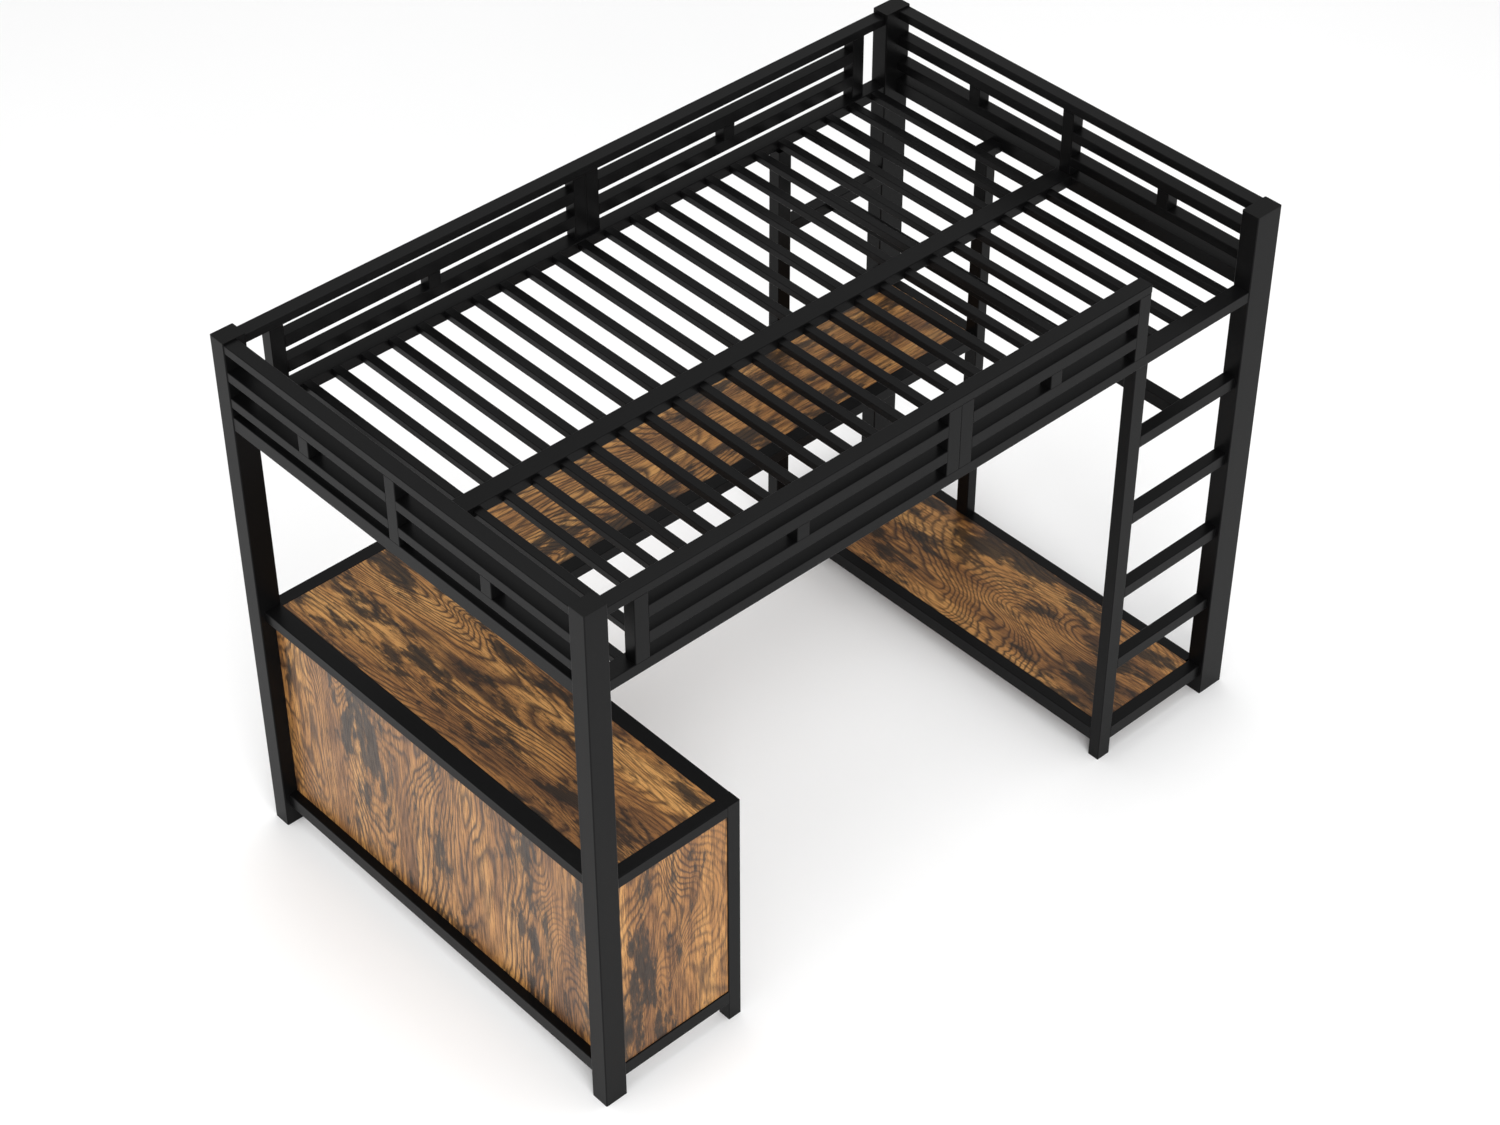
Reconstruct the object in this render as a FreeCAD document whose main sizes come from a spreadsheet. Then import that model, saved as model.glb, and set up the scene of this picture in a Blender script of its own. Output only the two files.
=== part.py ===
"""A metal loft bed with an L-shaped desk under it, as a parametric FreeCAD document.

Frame: X runs along the bed from the desk end (-X) to the ladder end (+X), Y runs from the front,
where the ladder is (-Y), to the back (+Y), and Z is up. The origin is on the floor under the
middle of the bed. All sizes are millimetres and live in the sheet "Sizes"; every block's size and
place is an expression of its cells.
"""
import FreeCAD, Part
import os
import re

SIZES = {
    # whole bed
    "bed_length": 2160,
    "bed_width": 1296,
    "bed_height": 1525,
    # corner posts: a steel tube, plugged at both ends
    "desk_post_width": 63,
    "ladder_post_width": 84,
    "post_depth": 51,
    "post_wall": 1.5,
    "post_corner_radius": 3,
    "plug_plate": 3,
    "plug_insert": 15,
    # all other tubes
    "tube_wall": 1,
    "tube_corner_radius": 2,
    "rail_setback": 2,
    # side rails, end rails and the beam under the mattress
    "side_rail_level": 1280,
    "side_rail_height": 31,
    "side_rail_depth": 46,
    "end_rail_level": 1277,
    "end_rail_size": 40,
    "end_plate": 4,
    "beam_level": 1290,
    "beam_height": 30,
    "beam_width": 53,
    # slats, in two rows that butt on the beam and on the side rails
    "slat_first": -965,
    "slat_pitch": 83.2,
    "slat_width": 25,
    "slat_height": 20,
    # bolts and nuts that join the rails to the posts
    "bolt_radius": 4,
    "bolt_hole_radius": 4.5,
    "bolt_head_radius": 7,
    "bolt_head_height": 5,
    "bolt_length": 18,
    "nut_radius": 7.5,
    "nut_height": 6,
    # guards round the mattress
    "guard_top_level": 1490,
    "guard_top_height": 23,
    "guard_top_depth": 40,
    "guard_depth": 35,
    "guard_upper_level": 1420,
    "guard_lower_level": 1349,
    "guard_bar_height": 33,
    "guard_stile": 39,
    "guard_spacer": 36,
    "guard_start": 946,
    "front_joint": 8,
    "front_guard_end": 629,
    "back_joint": -8,
    "back_guard_end": 930,
    "end_guard_top_level": 1496,
    "end_guard_top_height": 24,
    "end_guard_upper_level": 1418,
    "end_guard_lower_level": 1344,
    "end_guard_bar_height": 27,
    "end_guard_width": 38,
    "end_guard_spacer_offset": 320,
    # ladder, and the lighter uprights
    "ladder_upright_start": 611,
    "ladder_upright_width": 43,
    "ladder_front": 636,
    "ladder_back": 602,
    "rung_height": 35,
    "rung_first": 295,
    "rung_pitch": 240,
    "back_line_front": 588,
    "back_line_back": 626,
    "clothes_rail_start": 803,
    "clothes_rail_level": 1013,
    # low shelf at the ladder end
    "shelf_level": 51,
    "shelf_height": 41,
    "shelf_bar_width": 33,
    # boards and the strips that carry them
    "board_thickness": 18,
    "ledge_width": 14,
    "ledge_thickness": 3,
    # desk: frame height, and the upright at the ladder end
    "desk_height": 716,
    "desk_frame_height": 32,
    "desk_upright_front": 212,
    "desk_upright_back": 253,
    "desk_upright_top": 1300,
    "desk_upright_start": 984,
    "desk_upright_width": 33,
    # desk return, across the desk end
    "return_outside": 1064,
    "return_leg_inside": 691,
    "return_leg_outside": 653,
    "return_bar_width": 43,
    "return_front": 643,
    "return_front_inside": 607,
    "return_base_level": 58,
    "return_base_height": 41,
    "panel_thickness": 15,
    "front_panel_face": 640,
    "end_panel_face": 1040,
}

SLAT_COUNT = 24
RUNG_COUNT = 4

# The four edges of a Part::Box that run along each axis.
BOX_EDGES = {"x": (9, 10, 11, 12), "y": (2, 4, 6, 8), "z": (1, 3, 5, 7)}

# Places that many pieces share, as expressions of the sheet's cells.
HALF_LENGTH = "bed_length / 2"
HALF_WIDTH = "bed_width / 2"
DESK_POST_X = f"(desk_post_width - {HALF_LENGTH})"
LADDER_POST_X = f"({HALF_LENGTH} - ladder_post_width)"
POST_Y = f"({HALF_WIDTH} - post_depth)"
RAIL_OUTER_Y = f"({HALF_WIDTH} - rail_setback)"
RAIL_OUTER_X = f"({HALF_LENGTH} - rail_setback)"
SIDE_RAIL_Y = f"({RAIL_OUTER_Y} - side_rail_depth)"
SIDE_RAIL_TOP = "(side_rail_level + side_rail_height)"
END_RAIL_X = f"({RAIL_OUTER_X} - end_rail_size)"
END_RAIL_TOP = "(end_rail_level + end_rail_size)"
LADDER_UPRIGHT_END = "(ladder_upright_start + ladder_upright_width)"
DESK_UPRIGHT_END = "(desk_upright_start + desk_upright_width)"
SHELF_TOP = "(shelf_level + shelf_height)"
RETURN_BASE_TOP = "(return_base_level + return_base_height)"

# Spans, from the low face to the high one.
DESK_POST_SPAN = (f"-{HALF_LENGTH}", DESK_POST_X)
LADDER_POST_SPAN = (LADDER_POST_X, HALF_LENGTH)
BETWEEN_POSTS_X = (DESK_POST_X, LADDER_POST_X)
BETWEEN_POSTS_Y = (f"-{POST_Y}", POST_Y)
LADDER_UPRIGHT_SPAN = ("ladder_upright_start", LADDER_UPRIGHT_END)
LADDER_Y = ("-ladder_front", "-ladder_back")
BACK_LINE_Y = ("back_line_front", "back_line_back")
BAY_X = (LADDER_UPRIGHT_END, LADDER_POST_X)
SHELF_Z = ("shelf_level", SHELF_TOP)
DESK_FRAME_Z = ("desk_height - desk_frame_height", "desk_height")
DESK_BOARD_Z = ("desk_height - board_thickness", "desk_height")
DESK_UPRIGHT_X = ("desk_upright_start", DESK_UPRIGHT_END)
DESK_UPRIGHT_Y = ("desk_upright_front", "desk_upright_back")
RETURN_LEG_X = ("-return_leg_inside", "-return_leg_outside")
RETURN_FRONT_Y = ("-return_front", "-return_front_inside")
RETURN_END_X = ("-return_outside", DESK_POST_X)
RETURN_BAY_X = (DESK_POST_X, "-return_leg_inside")
RETURN_BASE_Z = ("return_base_level", RETURN_BASE_TOP)
PANEL_Z = (RETURN_BASE_TOP, "desk_height - desk_frame_height")
RETURN_INNER_X = "(-return_leg_outside - return_bar_width)"

doc = FreeCAD.newDocument("loft_bed_with_desk")
sheet = doc.addObject("Spreadsheet::Sheet", "Sizes")
nodes = []


def fill_sheet():
    for row, (alias, value) in enumerate(SIZES.items(), start=1):
        sheet.set(f"A{row}", alias)
        sheet.set(f"B{row}", str(value))
        sheet.setAlias(f"B{row}", alias)
    doc.recompute()


def bound(text):
    """The expression with each alias written as a cell of the sheet."""
    return re.sub(r"[a-z_]+", lambda word: "Sizes." + word.group(0), text)


def mirrored(span):
    low, high = span
    return (f"-({high})", f"-({low})")


def on_side(side, span):
    """A span given for the positive side, on that side or mirrored."""
    return span if side > 0 else mirrored(span)


def box(name, spans):
    """A block between two faces along each axis."""
    block = doc.addObject("Part::Box", name)
    for axis, size, (low, high) in zip("xyz", ("Length", "Width", "Height"), spans):
        block.setExpression(size, bound(f"({high}) - ({low})"))
        block.setExpression(f"Placement.Base.{axis}", bound(low))
    return block


def rounded_box(name, along, spans, radius):
    """A block whose four edges along one axis are rounded to the radius in the named cell."""
    rounded = doc.addObject("Part::Fillet", name)
    rounded.Base = box(name + "_block", spans)
    rounded.Edges = [(edge, SIZES[radius], SIZES[radius]) for edge in BOX_EDGES[along]]
    return rounded


def rod(name, start, direction, length, radius):
    """A cylinder from a start point along a direction."""
    cylinder = doc.addObject("Part::Cylinder", name)
    cylinder.setExpression("Radius", bound(radius))
    cylinder.setExpression("Height", bound(length))
    turn = FreeCAD.Rotation(FreeCAD.Vector(0, 0, 1), FreeCAD.Vector(*direction))
    cylinder.Placement = FreeCAD.Placement(FreeCAD.Vector(), turn)
    for axis, place in zip("xyz", start):
        cylinder.setExpression(f"Placement.Base.{axis}", bound(place))
    return cylinder


def cut(name, base, tool):
    result = doc.addObject("Part::Cut", name)
    result.Base = base
    result.Tool = tool
    return result


def fuse(name, base, tool):
    result = doc.addObject("Part::Fuse", name)
    result.Base = base
    result.Tool = tool
    return result


def tube(name, along, spans, wall="tube_wall", radius="tube_corner_radius", end_wall="0"):
    """A rectangular tube along one axis, open at its ends or closed by end plates."""
    hollow = []
    for axis, (low, high) in zip("xyz", spans):
        inset = end_wall if axis == along else wall
        hollow.append((f"{low} + {inset}", f"{high} - {inset}"))
    outside = rounded_box(name + "_outside", along, spans, radius)
    return cut(name, outside, box(name + "_hollow", hollow))


def drilled(name, piece, holes):
    """The piece with each hole cut out of it; the last cut carries the name."""
    for number, hole in enumerate(holes, start=1):
        last = number == len(holes)
        piece = cut(name if last else f"{name}_drilled_{number}", piece, hole)
    return piece


def as_node(piece):
    nodes.append(piece)
    return piece


def as_group(label, pieces):
    """Separate solids that share one node."""
    group = doc.addObject("Part::Compound", label)
    group.Links = pieces
    return as_node(group)


# Bolts first, because the posts and the rails are drilled for them.

def rail_joint(kind, end, side):
    """Where a rail meets a post: the point on the post's face and the way into the post."""
    if kind == "side":
        face = LADDER_POST_X if end > 0 else DESK_POST_X
        middle = f"{side} * ({SIDE_RAIL_Y} + side_rail_depth / 2)"
        return (face, middle, "side_rail_level + side_rail_height / 2"), (end, 0, 0)
    middle = f"{end} * ({END_RAIL_X} + end_rail_size / 2)"
    return (middle, f"{side} * {POST_Y}", "end_rail_level + end_rail_size / 2"), (0, side, 0)


def moved(point, direction, distance):
    return tuple(f"{place} + {step} * ({distance})" for place, step in zip(point, direction))


def bolted_joint(kind, end, side):
    """A bolt with its head inside the rail, its nut inside the post, and the hole for both walls."""
    point, way_in = rail_joint(kind, end, side)
    way_out = tuple(-step for step in way_in)
    tag = f"{kind}_{'ladder' if end > 0 else 'desk'}_{'back' if side > 0 else 'front'}"
    seat = moved(point, way_in, "-end_plate")
    inside_post = moved(point, way_in, "post_wall")
    head = rod(f"head_{tag}", seat, way_out, "bolt_head_height", "bolt_head_radius")
    shank = rod(f"shank_{tag}", seat, way_in, "bolt_length", "bolt_radius")
    body = rod(f"nut_body_{tag}", inside_post, way_in, "nut_height", "nut_radius")
    thread = rod(f"nut_thread_{tag}", inside_post, way_in, "nut_height", "bolt_radius")
    hole = rod(f"hole_{tag}", seat, way_in, "bolt_length", "bolt_hole_radius")
    return fuse(f"bolt_{tag}", head, shank), cut(f"nut_{tag}", body, thread), hole


def bolted_joints():
    joints = {}
    for kind in ("side", "end"):
        for end in (-1, 1):
            for side in (-1, 1):
                joints[kind, end, side] = bolted_joint(kind, end, side)
    as_group("rail_bolts", [bolt for bolt, nut, hole in joints.values()])
    as_group("rail_nuts", [nut for bolt, nut, hole in joints.values()])
    return {key: hole for key, (bolt, nut, hole) in joints.items()}


# Bed frame.

def corner_post(label, end, side, holes):
    x_span = LADDER_POST_SPAN if end > 0 else DESK_POST_SPAN
    spans = (x_span, on_side(side, (POST_Y, HALF_WIDTH)), ("plug_plate", "bed_height - plug_plate"))
    post = tube(label + "_tube", "z", spans, wall="post_wall", radius="post_corner_radius")
    as_node(drilled(label, post, [holes["side", end, side], holes["end", end, side]]))


def plug(name, spans, outer_level, way_in, wall="tube_wall", radius="tube_corner_radius"):
    """An end plug: a plate over the tube's end, and an insert inside the tube.

    way_in is +1 where the insert goes up into the tube, and -1 where it goes down."""
    inner_level = f"{outer_level} + {way_in} * plug_plate"
    insert_level = f"{inner_level} + {way_in} * plug_insert"
    plate_z = (outer_level, inner_level) if way_in > 0 else (inner_level, outer_level)
    insert_z = (inner_level, insert_level) if way_in > 0 else (insert_level, inner_level)
    inside = [(f"{low} + {wall}", f"{high} - {wall}") for low, high in spans]
    plate = rounded_box(name + "_plate", "z", (*spans, plate_z), radius)
    return fuse(name, plate, box(name + "_insert", (*inside, insert_z)))


def post_ends():
    for label, level, way_in in (("post_top_caps", "bed_height", -1), ("post_foot_plugs", "0", 1)):
        plugs = []
        for x_span in (DESK_POST_SPAN, LADDER_POST_SPAN):
            for side in (-1, 1):
                spans = (x_span, on_side(side, (POST_Y, HALF_WIDTH)))
                name = f"{label}_{len(plugs) + 1}"
                plugs.append(plug(name, spans, level, way_in, "post_wall", "post_corner_radius"))
        as_group(label, plugs)


def leg_ends():
    """Plugs in the lighter legs: feet where they stand on the floor, caps where their tops show."""
    return_legs = [(RETURN_LEG_X, RETURN_FRONT_Y), (RETURN_LEG_X, BACK_LINE_Y)]
    bed_uprights = [(LADDER_UPRIGHT_SPAN, LADDER_Y), (LADDER_UPRIGHT_SPAN, BACK_LINE_Y)]
    feet = []
    for spans in return_legs + bed_uprights:
        feet.append(plug(f"leg_foot_plugs_{len(feet) + 1}", spans, "0", 1))
    as_group("leg_foot_plugs", feet)
    caps = [plug("leg_top_caps_1", (DESK_UPRIGHT_X, DESK_UPRIGHT_Y), "desk_upright_top", -1)]
    for spans in return_legs:
        caps.append(plug(f"leg_top_caps_{len(caps) + 1}", spans, "desk_height", -1))
    as_group("leg_top_caps", caps)


def side_rail(label, side, holes):
    y_span = on_side(side, (SIDE_RAIL_Y, RAIL_OUTER_Y))
    spans = (BETWEEN_POSTS_X, y_span, ("side_rail_level", SIDE_RAIL_TOP))
    rail = tube(label + "_tube", "x", spans, end_wall="end_plate")
    as_node(drilled(label, rail, [holes["side", end, side] for end in (-1, 1)]))


def end_rail(label, end, holes):
    spans = (on_side(end, (END_RAIL_X, RAIL_OUTER_X)), BETWEEN_POSTS_Y, ("end_rail_level", END_RAIL_TOP))
    rail = tube(label + "_tube", "y", spans, end_wall="end_plate")
    as_node(drilled(label, rail, [holes["end", end, side] for side in (-1, 1)]))


def centre_beam():
    spans = (
        (f"-{END_RAIL_X}", END_RAIL_X),
        ("-beam_width / 2", "beam_width / 2"),
        ("beam_level", "beam_level + beam_height"),
    )
    as_node(tube("centre_beam", "x", spans))


def slat_row(label, side):
    slats = []
    for number in range(SLAT_COUNT):
        start = f"slat_first + {number} * slat_pitch"
        spans = (
            (start, f"{start} + slat_width"),
            on_side(side, ("beam_width / 2", SIDE_RAIL_Y)),
            ("beam_level", "beam_level + slat_height"),
        )
        slats.append(tube(f"{label}_{number + 1}", "y", spans))
    as_group(label, slats)


# Guards.

def guard_top_rail(label, side, x_span):
    y_span = on_side(side, (f"{RAIL_OUTER_Y} - guard_top_depth", RAIL_OUTER_Y))
    as_node(tube(label, "x", (x_span, y_span, ("guard_top_level", "guard_top_level + guard_top_height"))))


def side_guard_panel(label, side, start, stop):
    """Two stiles on the side rail, two bars between them, and a spacer between the bars."""
    y_span = on_side(side, (f"{RAIL_OUTER_Y} - guard_depth", RAIL_OUTER_Y))
    stile_z = (SIDE_RAIL_TOP, "guard_top_level")
    bar_x = (f"{start} + guard_stile", f"{stop} - guard_stile")
    middle = f"({start} + {stop}) / 2"
    spacer_x = (f"{middle} - guard_spacer / 2", f"{middle} + guard_spacer / 2")
    spacer_z = ("guard_lower_level + guard_bar_height", "guard_upper_level")
    pieces = [
        tube(label + "_stile_start", "z", ((start, bar_x[0]), y_span, stile_z)),
        tube(label + "_stile_stop", "z", ((bar_x[1], stop), y_span, stile_z)),
        tube(label + "_spacer", "z", (spacer_x, y_span, spacer_z)),
    ]
    for level in ("guard_lower_level", "guard_upper_level"):
        bar_z = (level, f"{level} + guard_bar_height")
        pieces.append(tube(f"{label}_{level}", "x", (bar_x, y_span, bar_z)))
    as_group(label, pieces)


def end_guard(label, end):
    """A top rail, a centre stile, two bars each side of it and a spacer between each pair of bars."""
    x_span = on_side(end, (f"{RAIL_OUTER_X} - end_guard_width", RAIL_OUTER_X))
    top_z = ("end_guard_top_level", "end_guard_top_level + end_guard_top_height")
    stile_y = ("-guard_spacer / 2", "guard_spacer / 2")
    pieces = [
        tube(label + "_top", "y", (x_span, BETWEEN_POSTS_Y, top_z)),
        tube(label + "_stile", "z", (x_span, stile_y, (END_RAIL_TOP, "end_guard_top_level"))),
    ]
    for side in (-1, 1):
        tag = f"{label}_{'back' if side > 0 else 'front'}"
        for level in ("end_guard_lower_level", "end_guard_upper_level"):
            bar_y = on_side(side, ("guard_spacer / 2", POST_Y))
            bar_z = (level, f"{level} + end_guard_bar_height")
            pieces.append(tube(f"{tag}_{level}", "y", (x_span, bar_y, bar_z)))
        spacer_y = (
            "end_guard_spacer_offset - guard_spacer / 2",
            "end_guard_spacer_offset + guard_spacer / 2",
        )
        spacer_z = ("end_guard_lower_level + end_guard_bar_height", "end_guard_upper_level")
        pieces.append(tube(f"{tag}_spacer", "z", (x_span, on_side(side, spacer_y), spacer_z)))
    as_group(label, pieces)


def guards():
    guard_top_rail("guard_top_rail_front", -1, (DESK_POST_X, "front_guard_end"))
    guard_top_rail("guard_top_rail_back", 1, BETWEEN_POSTS_X)
    side_guard_panel("guard_panel_front_long", -1, "-guard_start", "front_joint")
    side_guard_panel("guard_panel_front_short", -1, "front_joint", "front_guard_end")
    side_guard_panel("guard_panel_back_desk_end", 1, "-guard_start", "back_joint")
    side_guard_panel("guard_panel_back_ladder_end", 1, "back_joint", "back_guard_end")
    end_guard("end_guard_desk", -1)
    end_guard("end_guard_ladder", 1)


# Ladder, uprights and the rails between them.

def ladder():
    upright_z = ("plug_plate", "side_rail_level")
    as_node(tube("ladder_upright", "z", (LADDER_UPRIGHT_SPAN, LADDER_Y, upright_z)))
    as_node(tube("back_upright", "z", (LADDER_UPRIGHT_SPAN, BACK_LINE_Y, upright_z)))
    for number in range(RUNG_COUNT):
        level = f"rung_first + {number} * rung_pitch"
        spans = (BAY_X, LADDER_Y, (level, f"{level} + rung_height"))
        as_node(tube(f"ladder_rung_{number + 1}", "x", spans))


def clothes_rail():
    rail_z = ("clothes_rail_level", "clothes_rail_level + rung_height")
    as_node(tube("back_cross_bar", "x", (BAY_X, BACK_LINE_Y, rail_z)))
    rail_x = ("clothes_rail_start", "clothes_rail_start + rung_height")
    as_node(tube("clothes_rail", "y", (rail_x, ("-ladder_back", "back_line_front"), rail_z)))


def board(label, x_span, y_span, z_span):
    as_node(box(label, (x_span, y_span, z_span)))


def ledges(label, along, x_span, y_span, top):
    """Two strips under a board, one along each long edge of it."""
    z_span = (f"{top} - board_thickness - ledge_thickness", f"{top} - board_thickness")
    low, high = y_span if along == "x" else x_span
    edges = ((low, f"{low} + ledge_width"), (f"{high} - ledge_width", high))
    strips = []
    for number, edge in enumerate(edges, start=1):
        spans = (x_span, edge, z_span) if along == "x" else (edge, y_span, z_span)
        strips.append(box(f"{label}_{number}", spans))
    as_group(label, strips)


def low_shelf():
    left_x = ("ladder_upright_start", "ladder_upright_start + shelf_bar_width")
    board_x = (left_x[1], "desk_upright_start")
    inside_y = ("-ladder_back", "back_line_front")
    as_node(tube("shelf_rail_front", "x", (BAY_X, LADDER_Y, SHELF_Z)))
    as_node(tube("shelf_rail_back", "x", (BAY_X, BACK_LINE_Y, SHELF_Z)))
    as_node(tube("shelf_rail_inner", "y", (left_x, inside_y, SHELF_Z)))
    outer_y = (f"-{POST_Y}", "back_line_front")
    as_node(tube("shelf_rail_outer", "y", (DESK_UPRIGHT_X, outer_y, SHELF_Z)))
    board("shelf_board", board_x, inside_y, (f"{SHELF_TOP} - board_thickness", SHELF_TOP))
    ledges("shelf_board_ledges", "y", board_x, inside_y, SHELF_TOP)


# Desk.

def desk_upright():
    upright_z = (SHELF_TOP, "desk_upright_top - plug_plate")
    as_node(tube("desk_upright", "z", (DESK_UPRIGHT_X, DESK_UPRIGHT_Y, upright_z)))
    bracket_z = ("end_rail_level", "desk_upright_top")
    as_node(box("upright_bracket", ((DESK_UPRIGHT_END, END_RAIL_X), DESK_UPRIGHT_Y, bracket_z)))


def desk_return():
    inner_y = ("-return_front_inside", "back_line_front")
    leg_z = ("plug_plate", "desk_height - plug_plate")
    as_node(tube("return_leg_front", "z", (RETURN_LEG_X, RETURN_FRONT_Y, leg_z)))
    as_node(tube("return_leg_back", "z", (RETURN_LEG_X, BACK_LINE_Y, leg_z)))
    as_node(tube("return_bar_front", "x", (RETURN_BAY_X, RETURN_FRONT_Y, DESK_FRAME_Z)))
    as_node(tube("return_bar_back", "x", (RETURN_BAY_X, BACK_LINE_Y, DESK_FRAME_Z)))
    as_node(tube("return_bar_end", "y", (RETURN_END_X, BETWEEN_POSTS_Y, DESK_FRAME_Z)))
    inner_bar_x = (RETURN_INNER_X, "-return_leg_outside")
    as_node(tube("return_bar_inner", "y", (inner_bar_x, inner_y, DESK_FRAME_Z)))
    board_x = (DESK_POST_X, RETURN_INNER_X)
    board("return_board", board_x, inner_y, DESK_BOARD_Z)
    ledges("return_board_ledges", "y", board_x, inner_y, "desk_height")


def return_panels():
    as_node(tube("return_base_front", "x", (RETURN_BAY_X, RETURN_FRONT_Y, RETURN_BASE_Z)))
    as_node(tube("return_base_end", "y", (RETURN_END_X, BETWEEN_POSTS_Y, RETURN_BASE_Z)))
    front_y = ("-front_panel_face", "panel_thickness - front_panel_face")
    board("return_panel_front", RETURN_BAY_X, front_y, PANEL_Z)
    end_x = ("-end_panel_face", "panel_thickness - end_panel_face")
    board("return_panel_end", end_x, BETWEEN_POSTS_Y, PANEL_Z)


def long_desk():
    start = "-return_leg_outside"
    board_y = ("desk_upright_back", "back_line_front")
    as_node(tube("desk_bar_front", "x", ((start, "desk_upright_start"), DESK_UPRIGHT_Y, DESK_FRAME_Z)))
    as_node(tube("desk_bar_end", "y", (DESK_UPRIGHT_X, board_y, DESK_FRAME_Z)))
    back_x = (start, "ladder_upright_start")
    as_node(tube("desk_bar_back_long", "x", (back_x, BACK_LINE_Y, DESK_FRAME_Z)))
    as_node(tube("desk_bar_back_short", "x", (BAY_X, BACK_LINE_Y, DESK_FRAME_Z)))
    board_x = (start, "desk_upright_start")
    board("desk_board", board_x, board_y, DESK_BOARD_Z)
    ledges("desk_board_ledges", "x", board_x, board_y, "desk_height")


def write_nodes():
    doc.recompute()
    for item in doc.Objects:
        if "Invalid" in item.State or "Error" in item.State:
            raise RuntimeError(f"{item.Name} failed: {item.State}")
    for node in nodes:
        if node.Shape.isNull() or not node.Shape.isValid() or not node.Shape.Solids:
            raise RuntimeError(f"{node.Label} has no valid solid")
    os.makedirs("parts", exist_ok=True)
    for node in nodes:
        node.Shape.exportStep(f"parts/{node.Label}.step")
        print(f"{node.Label}: {len(node.Shape.Solids)} solids, {node.Shape.Volume:.0f} mm3")
    print(f"{len(nodes)} nodes")


fill_sheet()
bolt_holes = bolted_joints()
for post_label, post_end, post_side in (
    ("post_desk_front", -1, -1),
    ("post_desk_back", -1, 1),
    ("post_ladder_front", 1, -1),
    ("post_ladder_back", 1, 1),
):
    corner_post(post_label, post_end, post_side, bolt_holes)
post_ends()
side_rail("side_rail_front", -1, bolt_holes)
side_rail("side_rail_back", 1, bolt_holes)
end_rail("end_rail_desk", -1, bolt_holes)
end_rail("end_rail_ladder", 1, bolt_holes)
centre_beam()
slat_row("slats_front", -1)
slat_row("slats_back", 1)
guards()
ladder()
leg_ends()
clothes_rail()
low_shelf()
desk_upright()
desk_return()
return_panels()
long_desk()
write_nodes()
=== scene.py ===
import math

import bpy
from mathutils import Matrix, Vector

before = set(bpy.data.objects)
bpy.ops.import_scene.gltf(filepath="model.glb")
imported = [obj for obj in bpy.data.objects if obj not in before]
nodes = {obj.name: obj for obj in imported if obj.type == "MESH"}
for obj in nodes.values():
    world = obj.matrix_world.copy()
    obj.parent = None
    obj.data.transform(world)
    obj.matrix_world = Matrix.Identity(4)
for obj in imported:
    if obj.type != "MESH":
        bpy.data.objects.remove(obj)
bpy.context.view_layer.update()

MM = 0.001
BOARD_BEVEL = 0.8 * MM
STRIP_BEVEL = 0.5 * MM
CORNER_GAP = 0.01 * MM

WOOD_GRAIN = {
    "desk_board": "x",
    "return_board": "y",
    "shelf_board": "y",
    "return_panel_front": "z",
    "return_panel_end": "z",
}
# How the other boards differ from the return's top: all have fewer dark patches, the shelf and the
# panels have wider arches, and the panels have a stronger gloss.
WOOD_LOOKS = {
    "desk_board": {"clear": 0.36},
    "shelf_board": {"rings": 46.0, "drift": 30.0, "arch": (1.6, 3.6), "clear": 0.375},
    "return_panel_end": {"rings": 44.0, "drift": 30.0, "arch": (1.5, 2.6), "haze": 0.52, "clear": 0.37},
    "return_panel_front": {"rings": 34.0, "drift": 24.0, "arch": (1.5, 5.5), "haze": 0.30, "clear": 0.37},
}
PLUGS = ("post_top_caps", "post_foot_plugs", "leg_foot_plugs", "leg_top_caps")
FASTENERS = ("rail_bolts", "rail_nuts")
FLAT_STEEL = ("upright_bracket", "desk_board_ledges", "return_board_ledges", "shelf_board_ledges")


# Shader graph helpers.

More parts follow.
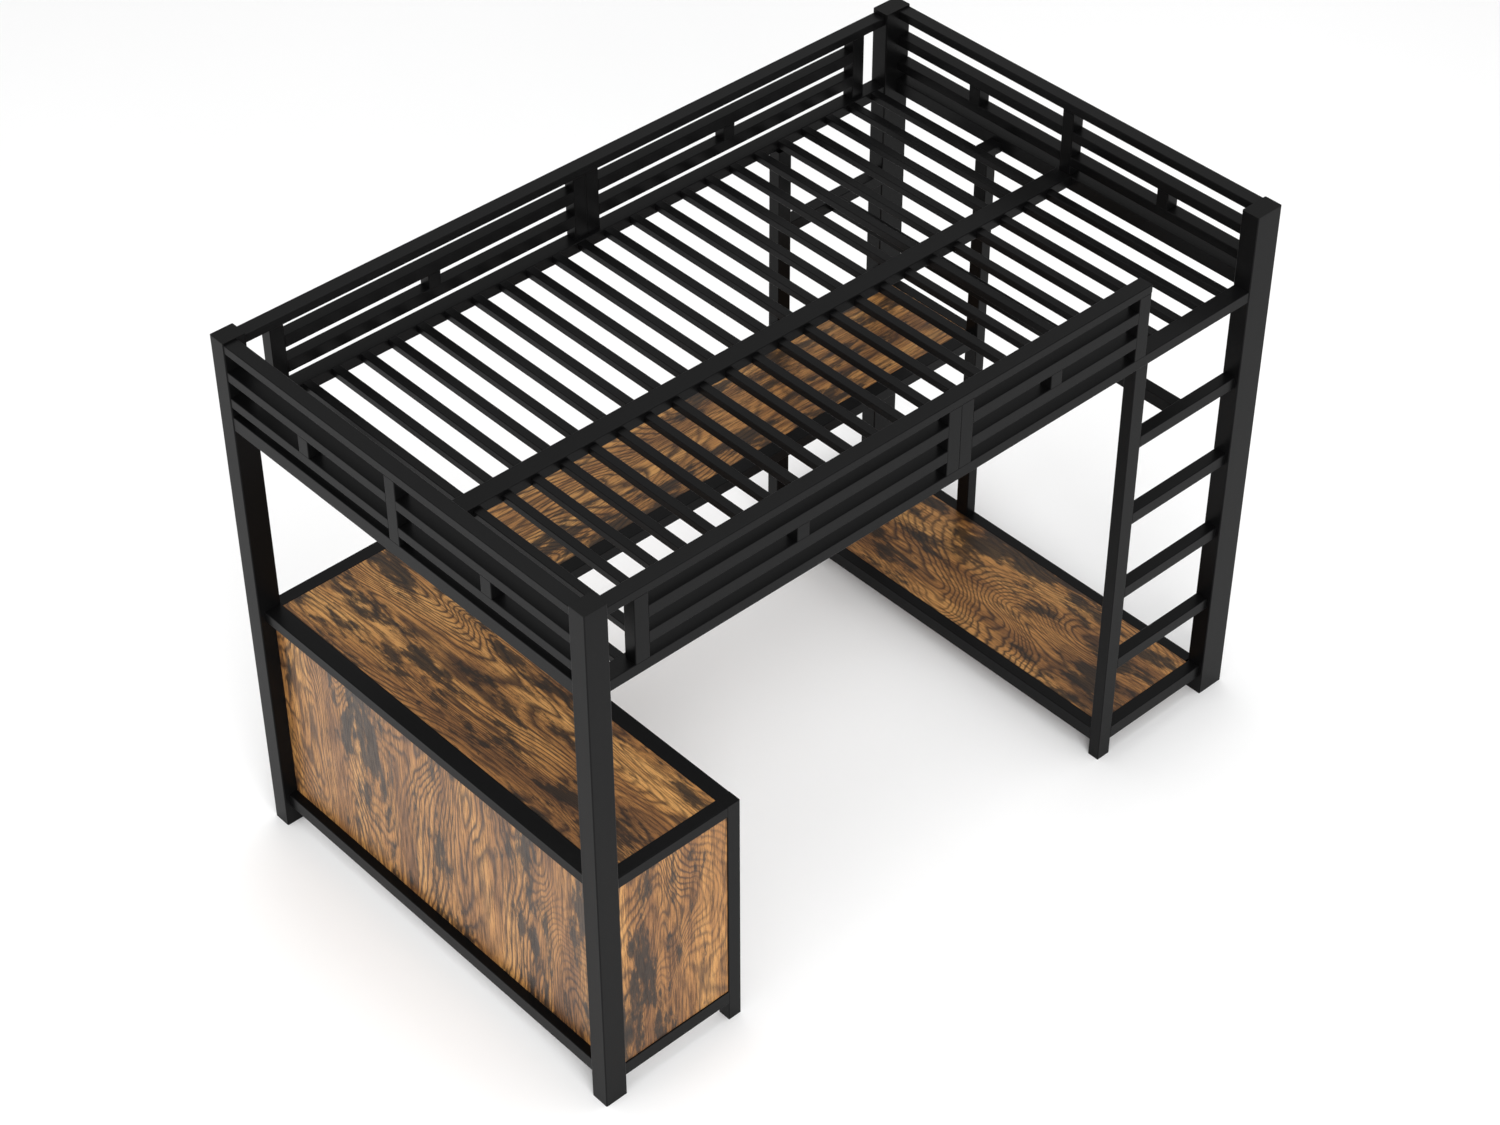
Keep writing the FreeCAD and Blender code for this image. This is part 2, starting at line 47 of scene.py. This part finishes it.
class Graph:
    """A node material under construction."""

    def __init__(self, name):
        self.material = bpy.data.materials.new(name)
        self.material.use_nodes = True
        self.tree = self.material.node_tree
        self.shader = self.tree.nodes["Principled BSDF"]
        self.column = -200

    def add(self, kind, **settings):
        node = self.tree.nodes.new(kind)
        node.location = (self.column, 0)
        self.column -= 180
        for key, value in settings.items():
            setattr(node, key, value)
        return node

    def link(self, source, target):
        self.tree.links.new(source, target)

    def place(self, turn=(0, 0, 0), shift=(0, 0, 0)):
        """Object coordinates, turned and moved."""
        coordinates = self.add("ShaderNodeTexCoord")
        mapping = self.add("ShaderNodeMapping")
        mapping.inputs["Location"].default_value = shift
        mapping.inputs["Rotation"].default_value = turn
        self.link(coordinates.outputs["Object"], mapping.inputs["Vector"])
        return mapping.outputs["Vector"]

    def stretch(self, vector, scale):
        node = self.add("ShaderNodeVectorMath", operation="MULTIPLY")
        node.inputs[1].default_value = scale
        self.link(vector, node.inputs[0])
        return node.outputs["Vector"]

    def noise(self, vector, scale, detail=4, roughness=0.5, distortion=0.0):
        node = self.add("ShaderNodeTexNoise")
        node.inputs["Scale"].default_value = scale
        node.inputs["Detail"].default_value = detail
        node.inputs["Roughness"].default_value = roughness
        node.inputs["Distortion"].default_value = distortion
        self.link(vector, node.inputs["Vector"])
        return node.outputs["Fac"]

    def math(self, operation, *values):
        node = self.add("ShaderNodeMath", operation=operation)
        for socket, value in zip(node.inputs, values):
            if isinstance(value, (int, float)):
                socket.default_value = value
            else:
                self.link(value, socket)
        return node.outputs[0]

    def ramp(self, factor, stops):
        """A colour ramp; each stop is a position and a grey value or a colour."""
        node = self.add("ShaderNodeValToRGB")
        elements = node.color_ramp.elements
        while len(elements) < len(stops):
            elements.new(1.0)
        for element, (position, colour) in zip(elements, stops):
            element.position = position
            grey = isinstance(colour, (int, float))
            element.color = (colour, colour, colour, 1) if grey else (*colour, 1)
        self.link(factor, node.inputs["Fac"])
        return node.outputs["Color"]

    def mix(self, kind, factor, first, second):
        node = self.add("ShaderNodeMix", data_type="RGBA", blend_type=kind)
        for socket, value in zip((node.inputs[0], node.inputs[6], node.inputs[7]), (factor, first, second)):
            if isinstance(value, (int, float)):
                socket.default_value = value
            elif isinstance(value, tuple):
                socket.default_value = (*value, 1)
            else:
                self.link(value, socket)
        return node.outputs[2]

    def bump(self, height, strength, distance):
        node = self.add("ShaderNodeBump")
        node.inputs["Strength"].default_value = strength
        node.inputs["Distance"].default_value = distance
        self.link(height, node.inputs["Height"])
        self.link(node.outputs["Normal"], self.shader.inputs["Normal"])

    def range(self, factor, low, high):
        """A factor from 0 to 1 spread over a range."""
        return self.math("MULTIPLY_ADD", factor, high - low, low)


def powder_coat(name, colour, roughness):
    """Satin black powder coat: fine orange peel, faint mottling and a slightly uneven gloss."""
    graph = Graph(name)
    place = graph.place()
    speckle = graph.noise(place, 900, detail=2)
    cloud = graph.noise(place, 5, detail=3)
    lighter = tuple(channel * 1.3 for channel in colour)
    graph.link(graph.mix("MIX", cloud, colour, lighter), graph.shader.inputs["Base Color"])
    graph.link(graph.range(cloud, roughness - 0.05, roughness + 0.05), graph.shader.inputs["Roughness"])
    graph.shader.inputs["Specular IOR Level"].default_value = 0.075
    graph.bump(speckle, 0.12, 0.0004)
    return graph.material


def zinc(name):
    graph = Graph(name)
    blotch = graph.noise(graph.place(), 300, detail=3)
    colour = graph.mix("MIX", blotch, ZINC_DULL, ZINC_BRIGHT)
    graph.link(colour, graph.shader.inputs["Base Color"])
    graph.link(graph.range(blotch, 0.3, 0.45), graph.shader.inputs["Roughness"])
    graph.shader.inputs["Metallic"].default_value = 1.0
    return graph.material


def moulded_plastic(name):
    graph = Graph(name)
    grain = graph.noise(graph.place(), 700, detail=3)
    colour = graph.mix("MIX", grain, PLASTIC_DARK, PLASTIC_LIGHT)
    graph.link(colour, graph.shader.inputs["Base Color"])
    graph.link(graph.range(grain, 0.36, 0.46), graph.shader.inputs["Roughness"])
    graph.shader.inputs["Specular IOR Level"].default_value = 0.07
    graph.bump(grain, 0.2, 0.0003)
    return graph.material


# Turns that lay the grain, which runs along the pattern's X, along each axis of the frame.
GRAIN_TURNS = {
    "x": (0, 0, 0),
    "y": (0, 0, math.pi / 2),
    "z": (0, math.pi / 2, 0),
}

# How far apart two boards' pieces of the pattern are, in metres.
PATTERN_STEP = (0.9, 1.7, 0.6)

# Colours as linear light: the steel's, the plastic's and the zinc's, then the laminate's from pale to dark.
BLACK = (0.0029, 0.0029, 0.0030)
PLASTIC_DARK = (0.0025, 0.0025, 0.0025)
PLASTIC_LIGHT = (0.0040, 0.0040, 0.0040)
ZINC_DULL = (0.42, 0.42, 0.43)
ZINC_BRIGHT = (0.6, 0.6, 0.62)
HONEY = (0.600, 0.310, 0.095)
GOLD = (0.430, 0.200, 0.056)
TAN = (0.250, 0.108, 0.032)
BROWN = (0.105, 0.045, 0.016)
UMBER = (0.034, 0.015, 0.007)
SOOT = (0.010, 0.007, 0.005)

STEEL_ROUGHNESS = 0.32

# The stage. Each light is a square with its place, the point that it faces and its power in watts.
FLOOR_SIZE = 60
FLOOR_GREY = (0.93, 0.93, 0.93)
SKY_STRENGTH = 0.8
LIGHT_SIZE = 4.0
LIGHTS = {
    "key": ((-3.0, -6.0, 3.6), (0, 0, 0.8), 330),
    "fill": ((-7.0, 0.5, 2.4), (0, 0, 0.8), 115),
    "top": ((0.5, 0.5, 6.0), (0, 0, 0.9), 120),
}

# The camera: in front of the desk end and above, with its place in metres and its lens in millimetres.
CAMERA_PLACE = (-4.038, -4.365, 5.750)
CAMERA_AZIMUTH = math.radians(-42.546)
CAMERA_ELEVATION = math.radians(40.724)
CAMERA_ROLL = math.radians(-0.067)
CAMERA_LENS = 75.785
CAMERA_SENSOR = 36


def grain_lines(graph, place, rings, drift, arch):
    """Level lines of a slow noise plus a slope across the grain: straight lines that open into arches.

    rings and drift are the lines that the noise and a metre of slope make. The arch's two values
    are the noise's scales along the grain and across it."""
    wobble = graph.noise(graph.stretch(place, (7, 45, 45)), 1.0, detail=3)
    along, across = arch
    reach = (along, across, across)
    slow = graph.noise(graph.stretch(place, reach), 1.0, detail=1.4, roughness=0.4, distortion=0.5)
    height = graph.math("MULTIPLY_ADD", wobble, 0.030, slow)
    slope = graph.add("ShaderNodeVectorMath", operation="DOT_PRODUCT")
    slope.inputs[1].default_value = (0, drift, drift)
    graph.link(place, slope.inputs[0])
    phase = graph.math("FRACT", graph.math("MULTIPLY_ADD", height, rings, slope.outputs["Value"]))
    return graph.ramp(phase, ((0.0, 1.0), (0.14, 0.85), (0.36, 0.10), (0.78, 0.0), (1.0, 0.8)))


def ragged_patches(graph, place, streaks, cloud, clear):
    """Dark patches with ragged ends, gathered in some parts of the board."""
    ragged = graph.math("MULTIPLY_ADD", streaks, 0.36, cloud)
    gathering = graph.noise(graph.stretch(place, (1.8, 6, 6)), 1.0, detail=2)
    ragged = graph.math("MULTIPLY_ADD", gathering, 0.60, ragged)
    ragged = graph.math("SUBTRACT", ragged, clear)
    return graph.ramp(ragged, ((0.635, 0.0), (0.670, 0.35), (0.692, 0.85), (0.720, 1.0)))


def small_knots(graph, place, cloud):
    """Small dark ovals with a paler rim, few and far between."""
    cells = graph.add("ShaderNodeTexVoronoi", feature="F1")
    cells.inputs["Scale"].default_value = 1.0
    graph.link(graph.stretch(place, (3.2, 6.0, 6.0)), cells.inputs["Vector"])
    distance = graph.math("MULTIPLY_ADD", cloud, 0.10, cells.outputs["Distance"])
    return graph.ramp(distance, ((0.085, 1.0), (0.115, 0.25), (0.135, 0.7), (0.17, 0.0)))


def rustic_wood(name, along, shift, rings=34.0, drift=20.0, arch=(1.1, 6.0), haze=0.24, clear=0.335):
    """Rustic brown laminate: golden brown with dark arched grain, fine streaks, knots and dark patches.

    haze is the strength of the gloss, and the higher clear is, the fewer dark patches there are."""
    graph = Graph(name)
    place = graph.place(turn=GRAIN_TURNS[along], shift=shift)

    # Broad zones, some golden and some brown.
    zones = graph.noise(graph.stretch(place, (1.2, 9, 9)), 1.0, detail=6, roughness=0.72)
    base = graph.ramp(zones, ((0.31, BROWN), (0.43, TAN), (0.54, GOLD), (0.66, HONEY)))

    # Fine streaks and pores along the grain.
    streaks = graph.noise(graph.stretch(place, (11, 230, 230)), 1.0, detail=5, roughness=0.8)
    pores = graph.ramp(streaks, ((0.43, 1.0), (0.52, 0.0)))
    colour = graph.mix("MIX", graph.math("MULTIPLY", pores, 0.72), base, UMBER)

    # Dark arched grain that fades in and out.
    lines = grain_lines(graph, place, rings, drift, arch)
    fade = graph.noise(graph.stretch(place, (2, 8, 8)), 1.0, detail=2)
    strength = graph.ramp(fade, ((0.36, 0.45), (0.54, 0.95)))
    colour = graph.mix("MIX", graph.math("MULTIPLY", lines, strength), colour, UMBER)

    # Black-brown patches and knots.
    cloud = graph.noise(graph.stretch(place, (7, 27, 27)), 1.0, detail=8, roughness=0.66)
    patches = ragged_patches(graph, place, streaks, cloud, clear)
    colour = graph.mix("MIX", graph.math("MULTIPLY", patches, 0.90), colour, SOOT)
    knots = small_knots(graph, place, cloud)
    colour = graph.mix("MIX", graph.math("MULTIPLY", knots, 0.85), colour, SOOT)
    graph.link(colour, graph.shader.inputs["Base Color"])

    graph.link(graph.range(pores, 0.38, 0.50), graph.shader.inputs["Roughness"])
    graph.shader.inputs["Specular IOR Level"].default_value = haze
    depth = graph.math("MULTIPLY_ADD", pores, -0.6, graph.math("MULTIPLY", lines, -0.4))
    graph.bump(depth, 0.35, 0.0004)
    return graph.material


def dress(node, material):
    slots = nodes[node].data.materials
    slots.clear()
    slots.append(material)


def soften_edges(node, width):
    """A small bevel on a solid board's or strip's edges, once its faces share their corners."""
    join = nodes[node].modifiers.new("join", "WELD")
    join.merge_threshold = CORNER_GAP
    bevel = nodes[node].modifiers.new("edge", "BEVEL")
    bevel.width = width
    bevel.segments = 3
    bevel.limit_method = "ANGLE"
    bevel.angle_limit = math.radians(40)


def dress_boards():
    """Each board has its own stretch of the laminate, so that no two show the same pattern."""
    for number, name in enumerate(sorted(WOOD_GRAIN)):
        shift = tuple(step * number for step in PATTERN_STEP)
        look = WOOD_LOOKS.get(name, {})
        dress(name, rustic_wood(f"rustic_wood_{name}", WOOD_GRAIN[name], shift, **look))
        soften_edges(name, BOARD_BEVEL)


def dress_nodes():
    steel = powder_coat("black_powder_coat", BLACK, STEEL_ROUGHNESS)
    plastic = moulded_plastic("black_plastic")
    zinc_plate = zinc("zinc_plate")
    for name in nodes:
        if name in WOOD_GRAIN:
            continue
        if name in PLUGS:
            dress(name, plastic)
        elif name in FASTENERS:
            dress(name, zinc_plate)
        else:
            dress(name, steel)
        if name in FLAT_STEEL:
            soften_edges(name, STRIP_BEVEL)


# Stage, light and camera.

def floor():
    material = bpy.data.materials.new("pale_floor")
    material.use_nodes = True
    shader = material.node_tree.nodes["Principled BSDF"]
    shader.inputs["Base Color"].default_value = (*FLOOR_GREY, 1)
    shader.inputs["Roughness"].default_value = 0.9
    bpy.ops.mesh.primitive_plane_add(size=FLOOR_SIZE, location=(0, 0, 0))
    plane = bpy.context.object
    plane.name = "floor"
    plane.data.materials.append(material)


def area_light(name, place, target, power):
    light = bpy.data.lights.new(name, "AREA")
    light.shape = "SQUARE"
    light.size = LIGHT_SIZE
    light.energy = power
    lamp = bpy.data.objects.new(name, light)
    bpy.context.scene.collection.objects.link(lamp)
    lamp.location = place
    lamp.rotation_euler = (Vector(target) - Vector(place)).to_track_quat("-Z", "Y").to_euler()


def studio():
    world = bpy.data.worlds.new("studio")
    world.use_nodes = True
    background = world.node_tree.nodes["Background"]
    background.inputs["Color"].default_value = (1, 1, 1, 1)
    background.inputs["Strength"].default_value = SKY_STRENGTH
    bpy.context.scene.world = world
    bpy.context.scene.view_settings.view_transform = "Standard"
    for name, (place, target, power) in LIGHTS.items():
        area_light(name, place, target, power)


def camera():
    """The view from the front of the desk end, from above."""
    back = Vector((
        math.sin(CAMERA_AZIMUTH) * math.cos(CAMERA_ELEVATION),
        -math.cos(CAMERA_AZIMUTH) * math.cos(CAMERA_ELEVATION),
        math.sin(CAMERA_ELEVATION),
    ))
    data = bpy.data.cameras.new("camera")
    data.sensor_width = CAMERA_SENSOR
    data.lens = CAMERA_LENS
    data.clip_end = 100
    view = bpy.data.objects.new("camera", data)
    bpy.context.scene.collection.objects.link(view)
    turn = (-back).to_track_quat("-Z", "Y").to_matrix().to_4x4()
    view.matrix_world = Matrix.Translation(CAMERA_PLACE) @ turn @ Matrix.Rotation(CAMERA_ROLL, 4, "Z")
    bpy.context.scene.camera = view


camera()
dress_nodes()
dress_boards()
floor()
studio()
